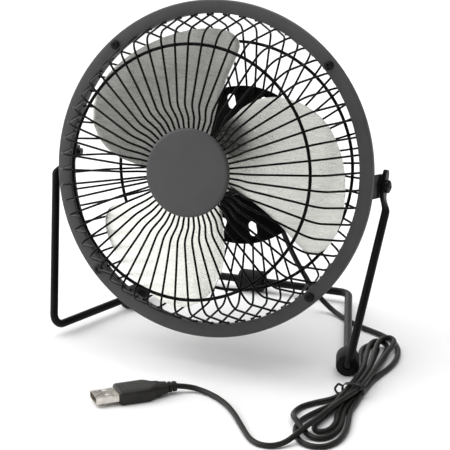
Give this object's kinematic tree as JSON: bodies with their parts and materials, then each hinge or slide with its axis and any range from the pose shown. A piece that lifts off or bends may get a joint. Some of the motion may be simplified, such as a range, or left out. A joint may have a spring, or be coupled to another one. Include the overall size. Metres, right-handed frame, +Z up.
{
  "type": "desk fan",
  "caption": "Small desk fan: round wire guard with a lobed metal blade, tilting on two pivots in a bent-rod stand, with a tied cord and plug.",
  "frame": {"origin": "centre of the fan's footprint, on the surface it stands on, cord left out", "axes": "+Z up, the fan blows towards -Y, +X to the right of someone facing the fan"},
  "size_m": [0.2131, 0.2172, 0.1925],
  "materials": {
    "stand_paint": "satin black powder coat",
    "ring_paint": "matt dark grey paint",
    "wire_paint": "black dipped wire",
    "cap_plastic": "matt dark grey",
    "cover_plastic": "fine-textured black",
    "rocker_plastic": "polished black",
    "blade_aluminium": "brushed silver",
    "black_screw": "black oxide",
    "plated_screw": "zinc plated",
    "fibre": "black nylon washer",
    "foot_rubber": "soft matt",
    "cord_jacket": "smooth satin jacket",
    "plug_plastic": "moulded dark grey",
    "plug_metal": "nickel plated",
    "tongue_plastic": "white",
    "motor_steel": "plated",
    "core_steel": "laminations",
    "copper": "enamelled copper wire",
    "bronze": "sintered bronze",
    "magnet": "dark ferrite"
  },
  "bodies": {
    "stand": {"stand_rod": "stand_paint", "foot_right": "foot_rubber", "foot_left": "foot_rubber", "foot_rear": "foot_rubber", "pivot_screw_right": "black_screw", "pivot_screw_left": "black_screw", "pivot_washer_right": "fibre", "pivot_washer_left": "fibre", "pivot_nut_right": "black_screw", "pivot_nut_left": "black_screw", "cord_drop": "cord_jacket", "cord_floor": "cord_jacket", "cord_hank": "cord_jacket", "cord_lead": "cord_jacket", "twist_tie": "cord_jacket", "plug_body": "plug_plastic", "plug_shell": "plug_metal", "plug_tongue": "tongue_plastic"},
    "head": {"front_ring": "ring_paint", "rear_ring": "ring_paint", "ring_screws": "black_screw", "ring_nuts": "black_screw", "front_spokes": "wire_paint", "front_hoop": "wire_paint", "backing_plate": "wire_paint", "hub_cap": "cap_plastic", "cap_screw": "black_screw", "rear_spokes": "wire_paint", "rear_hoop": "wire_paint", "rear_plate": "wire_paint", "motor_can": "motor_steel", "motor_end_cap": "cover_plastic", "rear_bush": "bronze", "front_bush": "bronze", "magnets": "magnet", "brushes": "magnet", "motor_screws": "plated_screw", "rear_cover": "cover_plastic", "cover_screws": "black_screw", "switch_body": "cover_plastic", "cord_gland": "cord_jacket", "pivot_bracket_right": "ring_paint", "pivot_bracket_left": "ring_paint"},
    "rotor": {"shaft": "motor_steel", "armature_core": "core_steel", "windings": "copper", "commutator": "copper", "blade_set": "blade_aluminium", "hub_screw": "black_screw"},
    "rocker": {"switch_rocker": "rocker_plastic"}
  },
  "joints": [
    {"name": "tilt", "type": "hinge", "parent": "stand", "child": "head", "pos_m": [0, -0.0066, 0.0985], "axis": [-1, 0, 0], "range_deg": [-45, 70], "deforming": ["cord_drop"]},
    {"name": "spin", "type": "hinge", "parent": "head", "child": "rotor", "pos_m": [0, -0.0066, 0.0985], "axis": [0, -0.9734, 0.2292], "continuous": true},
    {"name": "switch", "type": "hinge", "parent": "head", "child": "rocker", "pos_m": [0, 0.04596, 0.08612], "axis": [0, 0.2292, 0.9734], "range_deg": [0, 16]}
  ]
}
